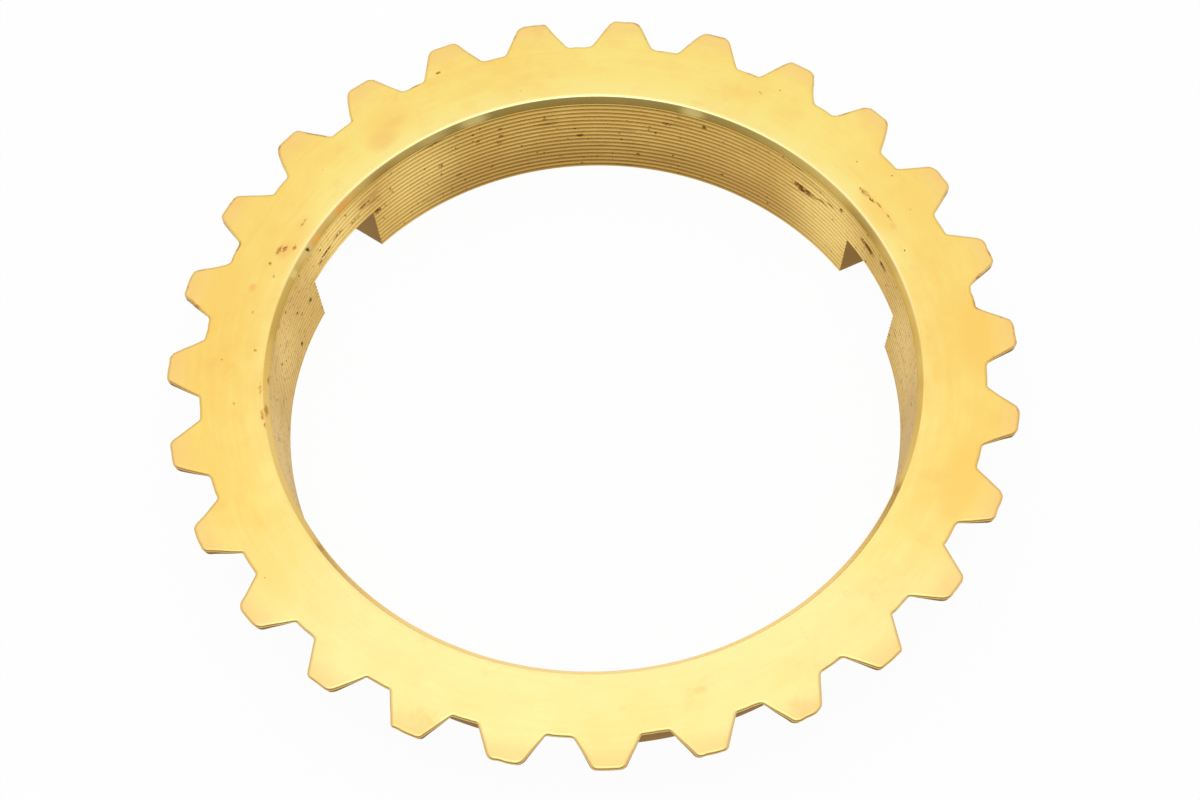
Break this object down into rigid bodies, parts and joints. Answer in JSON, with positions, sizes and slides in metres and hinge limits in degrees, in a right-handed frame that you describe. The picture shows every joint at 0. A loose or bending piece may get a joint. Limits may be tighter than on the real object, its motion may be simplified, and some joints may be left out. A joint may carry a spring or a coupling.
{
  "type": "synchronizer ring",
  "caption": "One-piece brass synchronizer ring with a grooved friction cone, pointed dog teeth round a flat rim and key slots in its sleeve.",
  "frame": {"origin": "centre of the sleeve's end face, on the ring's axis, where the ring stands", "axes": "+Z along the ring's axis from the sleeve's end to the toothed face; -Y through the middle of a key slot"},
  "size_m": [0.08, 0.0798, 0.0103],
  "materials": {
    "machined_brass": "fine-turned, bare"
  },
  "bodies": {
    "root": {"synchronizer_ring": "machined_brass"}
  },
  "joints": []
}
